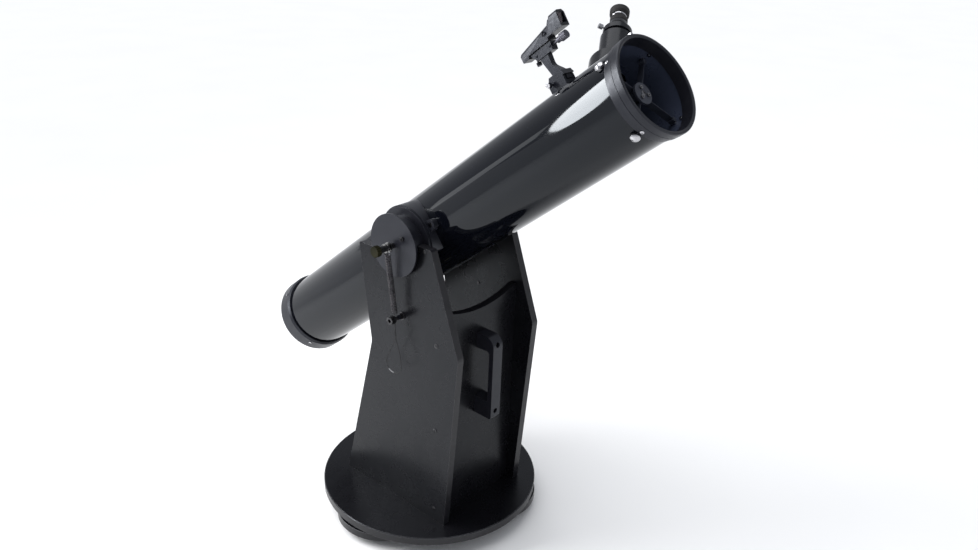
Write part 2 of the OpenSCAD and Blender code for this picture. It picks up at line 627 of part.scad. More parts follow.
module focus_knobs() color("#202124") on_focuser() translate([0, rack_y - pinion_r, pinion_h]) {
    x_rod(-44, 44, 3, 32);
    x_rod(-5, 5, 4.8, 48);
    for (i = [0:pinion_teeth - 1]) rotate([i * 360 / pinion_teeth, 0, 0]) translate([-5, 0, 0])
        rotate([90, 0, 90]) linear_extrude(10) polygon(concat([[0.75, 4]], pinion_tooth,
            [for (k = [3:-1:0]) [-pinion_tooth[k][0], pinion_tooth[k][1]]], [[-0.75, 4]]));
    for (side = [-1, 1]) rotate([0, 90 * side, 0]) translate([0, 0, 38]) fluted_knob(18, 16, 30, 1.2);
}
module focuser_lock_screw() color("#cfd0d2") on_focuser() translate([0, 0, lock_h]) {
    x_rod(-draw_r - GAP, -body_r - 5, 2, 24);
    translate([-body_r - 5, 0, 0]) rotate([0, -90, 0]) fluted_knob(5, 7, 10, 1);
}
module eyepiece_holder() color("#1d1e21") on_focuser() difference() {
    union() {
        z_rod(holder_h, holder_h + 11, holder_r);
        translate([0, 0, holder_h + 11]) cylinder(r1 = holder_r, r2 = 21, h = holder_t - 11);
        z_rod(holder_h - 8, holder_h, draw_bore - FIT);
    }
    z_rod(holder_h - 10, holder_h + holder_t + EPS, barrel_r + FIT);
    translate([0, 0, holder_h + 7]) rotate([0, 0, clamp_angle]) x_rod(14, 30, 2 + FIT, 24);
}
module holder_screw() color("#dcdddf") on_focuser() translate([0, 0, holder_h + 7]) rotate([0, 0, clamp_angle]) {
    x_rod(barrel_r + GAP, 32, 2, 24);
    translate([32, 0, 0]) rotate([0, 90, 0]) fluted_knob(5, 8, 12, 0.9);
}
eyepiece_h = holder_h + holder_t;
module eyepiece_body() color("#222326") on_focuser() translate([0, 0, eyepiece_h]) difference() {
    union() {
        z_rod(-27, 1, barrel_r);
        z_rod(0.1, 2, 19.5, 64);
        translate([0, 0, 2]) cylinder(r1 = 19.5, r2 = 16.6, h = 10);
        z_rod(12, 24, 16.4, 64);
        translate([0, 0, 24]) cylinder(r1 = 16.4, r2 = 13.6, h = 3);
        z_rod(27, 35, 13.4, 64);
    }
    z_rod(-28, 0, 14.4);
    z_rod(-1, 28, 12);
    z_rod(27, 36, 10);
}
module eyepiece_lenses() color("#a8bcc8") on_focuser() translate([0, 0, eyepiece_h]) {
    z_rod(2, 9, 12 - FIT);
    z_rod(29, 34, 10 - FIT);
}
module eyepiece_eyecup() color("#151515") on_focuser() translate([0, 0, eyepiece_h]) rotate_extrude()
    polygon([[13.5, 32], [16.5, 33], [19, 37], [19.3, 47], [17.3, 48], [16, 41], [13, 37], [10.5, 37],
        [10.5, 35.1], [13.5, 35.1]]);

// ---- finder ----

module finder_shoe() color("#202124") difference() {
    on_tube() difference() {
        translate([-16, 80, shoe_s[0]]) cube([32, shoe_top - 80, shoe_s[1] - shoe_s[0]]);
        translate([0, 0, shoe_s[0] - EPS]) linear_extrude(50)
            polygon([[-10, 98], [10, 98], [7.5, shoe_top + EPS], [-7.5, shoe_top + EPS]]);
        for (s = shoe_holes) translate([0, 0, s]) {
            y_rod(80, 100, 2 + FIT, 24);
            y_rod(93.5, 100, 3.8, 32);
        }
        translate([0, 103, shoe_s[0] + 10]) x_rod(-17, 0, 2 + FIT, 24);
    }
    on_tube() z_rod(focuser_s - 200, focuser_s, tube_r + FIT, 128);
}
module finder_shoe_screw() color("#d4d5d7") on_tube() translate([0, 103, shoe_s[0] + 10]) {
    x_rod(-9, -22, 2, 24);
    translate([-22, 0, 0]) rotate([0, -90, 0]) fluted_knob(5, 8, 12, 0.9);
}
stalk_outline = rounded([[455, 116], [445, 158], [467, 158], [464, 136], [481, 116]], [0, 0, 0, 14, 0]);
rail_screws = [[480, 165], [444, 165]];
body_screw = [483, 187];
module finder_bracket() color("#2a2b2e") on_tube() {
    difference() {
        union() {
            translate([0, 0, shoe_s[0]]) linear_extrude(shoe_s[1] - shoe_s[0] + 2)
                polygon([[-9.6, 98.3], [9.6, 98.3], [7.2, shoe_top + GAP], [-7.2, shoe_top + GAP]]);
            beside_tube(30) polygon([[444, shoe_top + GAP], [486, shoe_top + GAP], [482, foot_top], [450, foot_top]]);
            beside_tube(13) polygon(stalk_outline);
            beside_tube(17) polygon([[441, 157], [482, 157], [485, 173], [430.5, 173]]);
        }
        translate([0, knob_h, 0]) z_rod(474, 490, 3 + FIT);
        translate([0, 0, 435]) y_rod(150, 180, 2 + FIT, 24);
        for (p = rail_screws) translate([0, p[1], p[0]]) x_rod(-9, -5, 1.5 + FIT, 24);
    }
}
body_outline = [[412, 169], [412, 187], [495, 200], [505, 211], [527, 211], [525, 180], [486, 180], [486, 174.5],
    [430, 174.5], [428, 169]];
module finder_body() color("#2a2b2e") on_tube() difference() {
    beside_tube(24) polygon(body_outline);
    beside_tube(18) polygon([[490, 186], [530, 186], [530, 206], [497, 206]]);
    translate([0, 0, 435]) y_rod(170, 182, 2 + FIT, 24);
    translate([0, body_screw[1], body_screw[0]]) x_rod(-13, -8, 1.5 + FIT, 24);
}
module finder_lens() color("#7a5560") on_tube() beside_tube(18)
    polygon([[518.5, 186], [520.5, 186], [524.5, 206], [522.5, 206]]);
module finder_knob() color("#c8c9cc") on_tube() translate([0, knob_h, 0]) {
    z_rod(475, 506, 3, 32);
    z_rod(495, 505, 5.5, 48);
    translate([0, 0, 505]) fluted_knob(8, 14, 20, 1);
}
module finder_screws() color("#b9babd") on_tube() {
    for (p = rail_screws) translate([-8.5, p[1], p[0]]) rotate([0, -90, 0]) cross_screw(1.5, 3, 2.6, 1.2);
    translate([-12, body_screw[1], body_screw[0]]) rotate([0, -90, 0]) cross_screw(1.5, 3, 2.6, 1.2);
    translate([0, 0, 435]) {
        y_rod(157, 179, 2, 24);
        translate([0, 150, 0]) rotate([-90, 0, 0]) fluted_knob(5, 7, 12, 0.9);
    }
}

ground_board();
rubber_feet();
foot_screws();
azimuth_pads();
azimuth_bolt();
azimuth_nut();
azimuth_bush();
rocker_disc();
left_side_panel();
right_side_panel();
front_board();
board_screws();
altitude_pads();
carry_handle();
anchor_bolts();
anchor_spacers();
tension_springs();
left_pull_cord();
right_pull_cord();
left_bearing();
right_bearing();
bearing_bolts();
spring_posts();
post_spacers();
left_post_knob();
right_post_knob();
optical_tube();
front_ring();
rear_ring();
tube_screws();
mirror_cell();
primary_mirror();
mirror_clips();
collimation_springs();
collimation_knob(third_angles[0]);  // collimation_knob_1
collimation_knob(third_angles[1]);  // collimation_knob_2
collimation_knob(third_angles[2]);  // collimation_knob_3
cell_lock_screws();
spider_vanes();
spider_hub();
vane_nuts();
secondary_holder();
secondary_mirror();
secondary_screws();
focuser_base();
focuser_drawtube();
focus_knobs();
focuser_lock_screw();
eyepiece_holder();
holder_screw();
eyepiece_body();
eyepiece_lenses();
eyepiece_eyecup();
finder_shoe();
finder_shoe_screw();
finder_bracket();
finder_body();
finder_lens();
finder_knob();
finder_screws();
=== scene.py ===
import json
import math

import bmesh
import bpy
from mathutils import Matrix, Vector


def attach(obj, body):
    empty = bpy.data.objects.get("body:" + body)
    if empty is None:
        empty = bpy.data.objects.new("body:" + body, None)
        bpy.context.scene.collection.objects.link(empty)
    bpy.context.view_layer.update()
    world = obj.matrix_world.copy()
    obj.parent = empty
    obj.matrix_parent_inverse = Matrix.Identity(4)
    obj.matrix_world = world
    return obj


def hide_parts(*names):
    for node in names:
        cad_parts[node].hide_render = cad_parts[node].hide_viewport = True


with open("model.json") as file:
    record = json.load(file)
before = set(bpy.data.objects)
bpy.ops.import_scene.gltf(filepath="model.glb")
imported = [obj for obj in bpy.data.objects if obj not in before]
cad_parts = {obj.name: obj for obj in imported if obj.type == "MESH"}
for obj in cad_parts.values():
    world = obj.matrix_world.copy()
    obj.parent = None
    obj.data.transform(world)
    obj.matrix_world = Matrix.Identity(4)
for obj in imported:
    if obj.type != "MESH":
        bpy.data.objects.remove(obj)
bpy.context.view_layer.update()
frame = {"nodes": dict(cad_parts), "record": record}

# Sizes are worked out in millimetres, as in the CAD source, and turned into metres by MM.
MM = 0.001
PIVOT = Vector((0, -26, 709)) * MM          # middle of the altitude axis
ALTITUDE = math.radians(39)
TUBE_WAY = Vector((0, -math.cos(ALTITUDE), math.sin(ALTITUDE)))
TUBE_UP = Vector((0, math.sin(ALTITUDE), math.cos(ALTITUDE)))
ACROSS = Vector((1, 0, 0))
FOCUSER_S = 516 * MM                        # along the tube, from the pivot to the focuser's axis
OUTWARDS = (ACROSS + TUBE_UP).normalized()  # the focuser's own axis
EYEPIECE_SEAT = 228                         # height on that axis where the eyepiece's shoulder rests
nodes = frame["nodes"]


def on_tube(x, up, along):
    """A place in the tube's own frame, in millimetres: across it, above its axis and along it."""
    return PIVOT + (ACROSS * x + TUBE_UP * up + TUBE_WAY * along) * MM


def on_focuser(height):
    """A place on the focuser's axis, at this height in millimetres over the tube's axis."""
    return PIVOT + TUBE_WAY * FOCUSER_S + OUTWARDS * height * MM


# ---- camera ----

CAMERA_PLACE = (-1.324, -1.2971, 1.4217)
CAMERA_AZIMUTH = math.radians(-49.5)
CAMERA_ELEVATION = math.radians(24.1)
CAMERA_ROLL = math.radians(2.37)
SENSOR = 36
LENS = 33.14
FARTHEST = 100


def add_camera():
    level = math.cos(CAMERA_ELEVATION)
    back = Vector((math.sin(CAMERA_AZIMUTH) * level, -math.cos(CAMERA_AZIMUTH) * level,
                   math.sin(CAMERA_ELEVATION)))
    right = Vector((math.cos(CAMERA_AZIMUTH), math.sin(CAMERA_AZIMUTH), 0))
    right = Matrix.Rotation(CAMERA_ROLL, 3, back) @ right
    data = bpy.data.cameras.new("camera")
    data.sensor_width = SENSOR
    data.lens = LENS
    data.clip_end = FARTHEST
    camera = bpy.data.objects.new("camera", data)
    camera.matrix_world = Matrix((right, back.cross(right), back)).transposed().to_4x4()
    camera.location = CAMERA_PLACE
    bpy.context.scene.collection.objects.link(camera)
    bpy.context.scene.camera = camera


# ---- geometry helpers ----

def link(name, mesh, material, body):
    """Puts a mesh into the scene as a piece that rides on this body."""
    piece = bpy.data.objects.new(name, mesh)
    bpy.context.scene.collection.objects.link(piece)
    mesh.materials.append(material)
    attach(piece, body)
    return piece


def as_mesh(name, mesh):
    """Turns a bmesh into a smoothly shaded mesh with its faces looking outwards."""
    bmesh.ops.recalc_face_normals(mesh, faces=mesh.faces)
    data = bpy.data.meshes.new(name)
    mesh.to_mesh(data)
    mesh.free()
    shade(data)
    return data


def shade(mesh, angle=32):
    """Smooth shading, except over edges sharper than the angle."""
    for face in mesh.polygons:
        face.use_smooth = True
    mesh.set_sharp_from_angle(angle=math.radians(angle))


def square_to(way):
    """Two directions square to this one and to each other."""
    first = way.orthogonal().normalized()
    return first, way.cross(first)


def tube_mesh(name, path, radius, sides=12, relief=None):
    """A round tube along the path, its rings carried round the bends without twisting.
    relief(ring, turn) gives a factor for the radius."""
    mesh = bmesh.new()
    rings, across = [], None
    for i, point in enumerate(path):
        way = (path[min(i + 1, len(path) - 1)] - path[max(i - 1, 0)]).normalized()
        if across is None:
            across = way.orthogonal().normalized()
        across = (across - way * across.dot(way)).normalized()
        over = way.cross(across)
        ring = []
        for k in range(sides):
            turn = 2 * math.pi * k / sides
            reach = radius * (relief(i, turn) if relief else 1)
            spoke = across * math.cos(turn) + over * math.sin(turn)
            ring.append(mesh.verts.new(point + reach * spoke))
        rings.append(ring)
    for near, far in zip(rings, rings[1:]):
        for k in range(sides):
            mesh.faces.new((near[k], far[k], far[(k + 1) % sides], near[(k + 1) % sides]))
    mesh.faces.new(rings[0])
    mesh.faces.new(reversed(rings[-1]))
    return as_mesh(name, mesh)


def turned_mesh(name, base, way, profile, sides=96, relief=None):
    """A solid turned round the axis through base. profile is a closed loop of (height, radius, grip)
    in millimetres, and relief(turn) is added to the radius, times grip."""
    mesh = bmesh.new()
    first, second = square_to(way)
    rings = []
    for height, radius, grip in profile:
        ring = []
        for k in range(sides):
            turn = 2 * math.pi * k / sides
            reach = radius + (grip * relief(turn) if relief else 0)
            spoke = first * math.cos(turn) + second * math.sin(turn)
            ring.append(mesh.verts.new(base + (way * height + reach * spoke) * MM))
        rings.append(ring)
    for near, far in zip(rings, rings[1:] + rings[:1]):
        for k in range(sides):
            mesh.faces.new((near[k], near[(k + 1) % sides], far[(k + 1) % sides], far[k]))
    return as_mesh(name, mesh)


def ridges(count, depth):
    """Relief of a grip: this many rounded ridges, as deep as this in millimetres."""
    return lambda turn: depth * (0.5 + 0.5 * math.cos(count * turn))


# ---- cords ----

# Route of the left pull cord from its spring hook, in millimetres, as in the CAD source
CORD = [
    (-1, 0, -6), (-2, 0, -14), (-3, -3, -26), (-4, -6, -38), (-4, -2, -51),
    (-4, 6, -66), (-4, 14, -83), (-4, 22, -100), (-4, 24, -115), (-4, 16, -127),
    (-4, 2, -131), (-4, -12, -127), (-4, -21, -114), (-4, -21, -96), (-3, -16, -78),
    (-2, -9, -62), (-1, -2, -46), (0, 2, -32), (0.5, 2, -19), (1, 0, -6),
]
CORD_D = 1.8 * MM
CORD_SIDES = 16
CORD_STEPS = 24                             # rings between two points of the route
LOWER_HOOK = Vector((-151, -38, 546)) * MM
BRAID_STRANDS = 4
BRAID_PITCH = 5                             # rings in one turn of the braid
BRAID_RELIEF = 0.05                         # of each set of strands, as a share of the radius
SLEEVE_R = CORD_D * 0.66
SLEEVE_RINGS = 13                           # of the route, to each side of the sleeve's middle


def smooth_route(points, steps):
    """Catmull-Rom curve through the points."""
    route = []
    last = len(points) - 1
    for i in range(last):
        a, b, c, d = (points[j] for j in (max(i - 1, 0), i, i + 1, min(i + 2, last)))
        for k in range(steps):
            t = k / steps
            route.append(0.5 * (2 * b + (c - a) * t + (2 * a - 5 * b + 4 * c - d) * t ** 2
                                + (3 * b - a - 3 * c + d) * t ** 3))
    return route + [points[last]]


def braid(ring, turn):
    """Two sets of strands that wind round the cord in opposite directions."""
    lean = 2 * math.pi * ring / BRAID_PITCH / BRAID_STRANDS
    strands = math.cos(BRAID_STRANDS * (turn + lean)) + math.cos(BRAID_STRANDS * (turn - lean))
    return 1 + BRAID_RELIEF * (strands - 2)


def add_cord(side, name, looks):
    """A limp pull cord that hangs in a loop from the lower spring hook."""
    points = [Vector((p[0] * side, p[1], p[2])) * MM for p in CORD]
    hook = Vector((LOWER_HOOK.x * side, LOWER_HOOK.y, LOWER_HOOK.z))
    route = smooth_route([hook + p for p in points], CORD_STEPS)
    cord_mesh = tube_mesh(name + "_braid", route, CORD_D / 2, CORD_SIDES, braid)
    cord = link(name + "_braid", cord_mesh, looks["black_cord"], "rocker")
    # a short pale sleeve joins the cord at the bottom of its loop
    middle = len(route) // 2
    sleeve_path = route[middle - SLEEVE_RINGS:middle + SLEEVE_RINGS + 1]
    sleeve_mesh = tube_mesh(name + "_sleeve", sleeve_path, SLEEVE_R, CORD_SIDES)
    sleeve = link(name + "_sleeve", sleeve_mesh, looks["sleeve"], "rocker")
    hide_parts(name)


# ---- materials ----

NOISE_LOW, NOISE_HIGH = 0.3, 0.7            # between these the noise goes from one end to the other
SMEAR_GRAIN = 2.7                           # how much finer the gloss varies than the colour
RELIEF_HEIGHT = 0.0002
COOL = (0.85, 0.9, 1, 1)                    # tint of the reflections on black plastic
COOL_BOARD = (0.86, 0.92, 1, 1)
COOL_ENAMEL = (0.88, 0.94, 1, 1)
COOL_METAL = (0.9, 0.94, 1, 1)


def surface(name, dark, light, rough, grain, bump=0.0, bump_grain=1500, stretch=(1, 1, 1),
            **settings):
    """Paint, plastic, metal or laminate whose colour, gloss and relief vary over the surface.
    settings go straight onto the shader's sockets."""
    material = bpy.data.materials.new(name)
    material.use_nodes = True
    tree = material.node_tree
    shader = tree.nodes["Principled BSDF"]
    for socket, value in settings.items():
        shader.inputs[socket.replace("_", " ")].default_value = value

    coords = tree.nodes.new("ShaderNodeTexCoord")
    place = tree.nodes.new("ShaderNodeMapping")
    place.inputs["Scale"].default_value = stretch
    tree.links.new(coords.outputs["Object"], place.inputs["Vector"])

    def noise(scale, detail):
        node = tree.nodes.new("ShaderNodeTexNoise")
        node.inputs["Scale"].default_value = scale
        node.inputs["Detail"].default_value = detail
        tree.links.new(place.outputs["Vector"], node.inputs["Vector"])
        return node

    cloud = noise(grain, 6)
    ramp = tree.nodes.new("ShaderNodeValToRGB")
    ramp.color_ramp.elements[0].position = NOISE_LOW
    ramp.color_ramp.elements[0].color = (*dark, 1)
    ramp.color_ramp.elements[1].position = NOISE_HIGH
    ramp.color_ramp.elements[1].color = (*light, 1)
    tree.links.new(cloud.outputs["Fac"], ramp.inputs["Fac"])
    tree.links.new(ramp.outputs["Color"], shader.inputs["Base Color"])

    smear = noise(grain * SMEAR_GRAIN, 4)
    gloss = tree.nodes.new("ShaderNodeMapRange")
    gloss.inputs["From Min"].default_value = NOISE_LOW
    gloss.inputs["From Max"].default_value = NOISE_HIGH
    gloss.inputs["To Min"].default_value = rough[0]
    gloss.inputs["To Max"].default_value = rough[1]
    tree.links.new(smear.outputs["Fac"], gloss.inputs["Value"])
    tree.links.new(gloss.outputs["Result"], shader.inputs["Roughness"])

    if bump:
        relief = tree.nodes.new("ShaderNodeBump")
        relief.inputs["Strength"].default_value = bump
        relief.inputs["Distance"].default_value = RELIEF_HEIGHT
        tree.links.new(noise(bump_grain, 3).outputs["Fac"], relief.inputs["Height"])
        tree.links.new(relief.outputs["Normal"], shader.inputs["Normal"])
    return material


def board_looks():
    return {
        "black_laminate": surface(
            "laminate", (0.0036, 0.0036, 0.0048), (0.0056, 0.0056, 0.007), (0.24, 0.32), 9,
            bump=0.04, bump_grain=1300, Specular_IOR_Level=0.2, Specular_Tint=COOL_BOARD),
        "edge_band": surface(
            "edge_band", (0.007, 0.007, 0.009), (0.012, 0.012, 0.015), (0.28, 0.36), 30,
            bump=0.15, bump_grain=900, Specular_IOR_Level=0.3),
        # lighter colour for the faces of rounded edges: a painted highlight
        "painted_edge_highlight": surface(
            "painted_edge_highlight", (0.09, 0.091, 0.1), (0.15, 0.152, 0.163), (0.25, 0.35), 40,
            Specular_IOR_Level=0.5),
    }


def rubber_and_plastic_looks():
    return {
        "rubber": surface(
            "rubber", (0.008, 0.008, 0.0085), (0.016, 0.0155, 0.016), (0.6, 0.8), 60,
            bump=0.5, bump_grain=1800, Specular_IOR_Level=0.35),
        "bearing_plastic": surface(
            "bearing_plastic", (0.78, 0.78, 0.75), (0.88, 0.88, 0.85), (0.35, 0.5), 80,
            bump=0.1, Subsurface_Weight=0.1),
        "black_plastic": surface(
            "moulded_plastic", (0.007, 0.0072, 0.0105), (0.0105, 0.0108, 0.0148), (0.3, 0.4), 25,
            bump=0.1, bump_grain=2200, Specular_IOR_Level=0.34, Specular_Tint=COOL),
        "finder_plastic": surface(
            "finder_casting", (0.006, 0.0065, 0.0105), (0.012, 0.013, 0.019), (0.24, 0.34), 60,
            bump=0.05, bump_grain=2400, Specular_IOR_Level=0.2, Specular_Tint=COOL),
        "clip_plastic": surface(
            "clip_plastic", (0.014, 0.014, 0.014), (0.024, 0.024, 0.024), (0.5, 0.65), 90,
            bump=0.3),
        "dark_knob": surface(
            "dark_knob", (0.008, 0.008, 0.003), (0.019, 0.018, 0.008), (0.45, 0.6), 90,
            bump=0.2, Specular_IOR_Level=0.07),
    }


def metal_looks():
    return {
        "zinc_steel": surface(
            "zinc", (0.22, 0.2, 0.12), (0.4, 0.36, 0.24), (0.25, 0.4), 120,
            bump=0.1, Metallic=1.0),
        "black_screws": surface(
            "black_oxide", (0.02, 0.02, 0.022), (0.07, 0.07, 0.075), (0.26, 0.45), 200,
            bump=0.15, Metallic=0.9),
        "spring_steel": surface(
            "spring_wire", (0.045, 0.042, 0.046), (0.085, 0.08, 0.086), (0.22, 0.34), 150,
            bump=0.1, Metallic=1.0),
        "brushed_steel": surface(
            "brushed_steel", (0.07, 0.07, 0.085), (0.12, 0.12, 0.14), (0.42, 0.54), 150,
            bump=0.1, stretch=(1, 1, 4), Metallic=1.0),
        "dull_steel": surface(
            "dull_steel", (0.12, 0.12, 0.13), (0.24, 0.24, 0.25), (0.25, 0.4), 150,
            bump=0.15, Metallic=1.0),
        "bright_washers": surface(
            "bright_washers", (0.16, 0.16, 0.16), (0.3, 0.3, 0.3), (0.12, 0.25), 90,
            bump=0.06, Metallic=1.0),
        "flat_black_metal": surface(
            "flat_black", (0.02, 0.023, 0.034), (0.032, 0.037, 0.053), (0.45, 0.6), 60,
            bump=0.3),
        "chrome": surface(
            "chrome", (0.42, 0.42, 0.44), (0.56, 0.56, 0.58), (0.1, 0.2), 140,
            bump=0.03, Metallic=1.0),
        # used on the finder's front face as painted shade
        "black_anodised": surface(
            "anodised", (0.004, 0.0042, 0.006), (0.0075, 0.0078, 0.0105), (0.2, 0.3), 40,
            bump=0.05, bump_grain=2600, Specular_IOR_Level=0.28, Specular_Tint=COOL_METAL),
    }


def cord_looks():
    return {
        "black_cord": surface(
            "braid", (0.006, 0.006, 0.007), (0.024, 0.024, 0.026), (0.7, 0.9), 700,
            bump=0.8, bump_grain=1600, stretch=(1, 1, 2.5)),
        "sleeve": surface(
            "heat_shrink_sleeve", (0.1, 0.1, 0.105), (0.2, 0.2, 0.21), (0.35, 0.5), 200, bump=0.2),
    }


def tube_looks():
    return {
        "tube_paint": surface(
            "tube_enamel", (0.0016, 0.0019, 0.0034), (0.0028, 0.0033, 0.0054), (0.03, 0.06), 4,
            Specular_IOR_Level=0.27, Specular_Tint=COOL_ENAMEL),
        "tube_inside": surface(
            "tube_inside", (0.034, 0.042, 0.068), (0.048, 0.057, 0.09), (0.26, 0.36), 12,
            bump=0.15, bump_grain=700, Specular_IOR_Level=0.4),
        "mirror_coating": surface(
            "mirror_coating", (0.86, 0.88, 0.9), (0.9, 0.92, 0.94), (0.01, 0.02), 6,
            Metallic=1.0),
        "coated_glass": surface(
            "coated_glass", (0.76, 0.5, 0.61), (0.83, 0.59, 0.69), (0.01, 0.03), 20,
            Transmission_Weight=1.0, IOR=1.5),
    }


def make_looks():
    """Every look by the name that the record's slots and this script use."""
    return {**board_looks(), **rubber_and_plastic_looks(), **metal_looks(), **cord_looks(),
            **tube_looks()}


# ---- carried-over CAD nodes ----

POST_STEP_R = 8 * MM                        # the spacers' faces nearer to the axis are dark steel


def slot_of(node):
    """The material slot that the record gives this node."""
    return next(p["material_slot"] for p in frame["record"]["subparts"] if p["node"] == node)


def body_of(node):
    """The moving body that this node belongs to."""
    bodies = frame["record"]["behaviour"]["bodies"]
    return next(body for body, members in bodies.items() if node in members)


def paint_nodes(looks):
    """Gives each CAD node the look of its record slot."""
    for name, node in nodes.items():
        node.data.materials.clear()
        node.data.materials.append(looks[slot_of(name)])
        shade(node.data)


def paint_where(mesh, material, test):
    """Gives this look to the faces whose centre and normal pass the test."""
    mesh.materials.append(material)
    index = len(mesh.materials) - 1
    for face in mesh.polygons:
        if test(face.center, face.normal):
            face.material_index = index


def inside_tube(centre, normal):
    """On the tube's wall: true for the side that looks at its axis."""
    out = centre - PIVOT
    out -= TUBE_WAY * out.dot(TUBE_WAY)
    return normal.dot(out) < 0


def paint_details(looks):
    """Second looks on parts of a CAD node, and looks that differ from the slot's usual one."""
    paint_where(nodes["optical_tube"].data, looks["tube_inside"], inside_tube)
    dark = looks["black_screws"]
    paint_where(nodes["post_spacers"].data, dark,
                lambda c, n: (c - PIVOT - ACROSS * c.x).length < POST_STEP_R and abs(n.x) < 0.5)
    barrel_top = on_focuser(EYEPIECE_SEAT).dot(OUTWARDS)
    paint_where(nodes["eyepiece_body"].data, looks["chrome"],
                lambda c, n: c.dot(OUTWARDS) < barrel_top)
    whole = {
        "finder_body": "finder_plastic", "finder_bracket": "finder_plastic",
        "finder_shoe": "finder_plastic", "finder_screws": "finder_plastic",
        "left_post_knob": "dark_knob", "right_post_knob": "dark_knob",
        "anchor_bolts": "black_screws", "finder_knob": "brushed_steel",
        "secondary_screws": "dull_steel",
    }
    for name, look in whole.items():
        nodes[name].data.materials[0] = looks[look]


WELD = 0.00001                              # points closer than this are one
FLAT_ANGLE = math.radians(1)                # faces that meet at less are one


def softened(node, bevel, segments=3, angle=35):
    """Stands for a CAD node with the same shape and slightly rounded edges.
    bevel is their width in millimetres, and only edges sharper than angle are rounded."""
    piece = bpy.data.objects.new(node + "_shell", nodes[node].data.copy())
    bpy.context.scene.collection.objects.link(piece)
    mesh = bmesh.new()
    mesh.from_mesh(piece.data)
    bmesh.ops.remove_doubles(mesh, verts=mesh.verts, dist=WELD)
    bmesh.ops.dissolve_limit(mesh, angle_limit=FLAT_ANGLE, verts=mesh.verts, edges=mesh.edges)
    mesh.to_mesh(piece.data)
    mesh.free()
    rounding = piece.modifiers.new("rounding", "BEVEL")
    rounding.width = bevel * MM
    rounding.segments = segments
    rounding.limit_method = "ANGLE"
    rounding.angle_limit = math.radians(angle)
    flatness = piece.modifiers.new("flatness", "WEIGHTED_NORMAL")
    flatness.weight = 100
    flatness.keep_sharp = True
    for face in piece.data.polygons:
        face.use_smooth = True
    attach(piece, body_of(node))
    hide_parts(node)
    return piece


BOARD_EDGE = 1.2
HANDLE_EDGE = 4.5
BEARING_EDGE = 1
BRACKET_EDGE = 0.8
FOOT_EDGE = 1.5


def paint_edge_highlights(piece, material):
    """Gives the faces of the rounded edges a lighter look of their own, a painted highlight along the
    corners.
    """
    piece.data.materials.append(material)
    piece.modifiers["rounding"].material = len(piece.data.materials) - 1


def add_boards(looks):
    """Laminated boards: rounded corners, and a lighter band round their edges."""
    thin_way = {"left_side_panel": 0, "right_side_panel": 0, "front_board": 1, "rocker_disc": 2,
                "ground_board": 2}
    for node, across in thin_way.items():
        board = softened(node, BOARD_EDGE)
        paint_where(board.data, looks["edge_band"], lambda c, n: abs(n[across]) < 0.5)
        # the rounded edges get the painted highlight
        paint_edge_highlights(board, looks["painted_edge_highlight"])


def add_mouldings(looks):
    """Moulded pieces with the rounded edges that their moulds leave."""
    softened("carry_handle", HANDLE_EDGE, 5)
    for node in ("left_bearing", "right_bearing"):
        # the bearings' rounded edges get the painted highlight too
        paint_edge_highlights(softened(node, BEARING_EDGE), looks["painted_edge_highlight"])
    for node in ("finder_bracket", "finder_shoe"):
        softened(node, BRACKET_EDGE, 2)
    softened("rubber_feet", FOOT_EDGE)


FINDER_EDGE = 0.5
FINDER_CHAMFER = 5
FINDER_HALF_WIDTH = 11.9 * MM               # just inside the body's sides
FINDER_UPPER_HALF = 186 * MM                # over the tube's axis


def add_finder_shell(looks):
    """The finder's body, with broad chamfers along both upper edges and a front face painted darker,
    as painted shade.
    """
    shell = softened("finder_body", FINDER_EDGE, 2, 50)
    mesh = shell.data
    # the front face, turned away from the key light, gets a darker look: painted shade
    paint_where(mesh, looks["black_anodised"], lambda c, n: n.dot(TUBE_WAY) > 0.7)
    weights = mesh.attributes.new("bevel_weight_edge", "FLOAT", "EDGE")

    def upper_corner(point):
        high = (point - PIVOT).dot(TUBE_UP) > FINDER_UPPER_HALF
        return high and abs(point.x) > FINDER_HALF_WIDTH

    for edge in mesh.edges:
        start, end = (mesh.vertices[v].co for v in edge.vertices)
        if upper_corner(start) and upper_corner(end) and start.x * end.x > 0:
            weights.data[edge.index].value = 1
    chamfer = shell.modifiers.new("chamfer", "BEVEL")
    chamfer.width = FINDER_CHAMFER * MM
    chamfer.segments = 1
    chamfer.limit_method = "WEIGHT"
    chamfer.use_clamp_overlap = False
    shell.modifiers.move(len(shell.modifiers) - 1, 0)


# ---- springs ----

WIRE_R = 0.9
WIRE_SIDES = 10
COIL_R = 6.5 - WIRE_R                       # of the wire's centre line
COILS = 35
COIL_END = 14.6                             # from a hook's middle to the first full turn
UPPER_HOOK = PIVOT + Vector((-163, 0, 0)) * MM
UPPER_HOOK_R = 6.4
LOWER_HOOK_R = 5.4
UPPER_NECK = (8.5, 11.5)                    # two points between a hook and its coil
LOWER_NECK = (7.5, 11)
COLLIMATION_WIRE_R = 0.8
COLLIMATION_COIL_R = 6.1
COLLIMATION_TURNS = 6
COLLIMATION_ENDS = (-582.2, -554.9)         # along the tube
COLLIMATION_OUT = 58                        # from the tube's axis


def hook_points(centre, radius, inward, side):
    """The open ring at a spring's end, from its tip round to the neck next to the coil."""
    angles = [math.radians(20 * k) for k in range(-16, 0)]
    return [centre + radius * MM * (math.cos(t) * inward + math.sin(t) * side) for t in angles]


def coil_points(base, way, first, last, radius, turns, steps=16):
    """Helix round the line from base, between two heights in millimetres."""
    across, over = square_to(way)
    count = turns * steps
    return [base + (way * (first + (last - first) * k / count) + radius * (
        across * math.cos(2 * math.pi * k / steps) + over * math.sin(2 * math.pi * k / steps))) * MM
        for k in range(count + 1)]


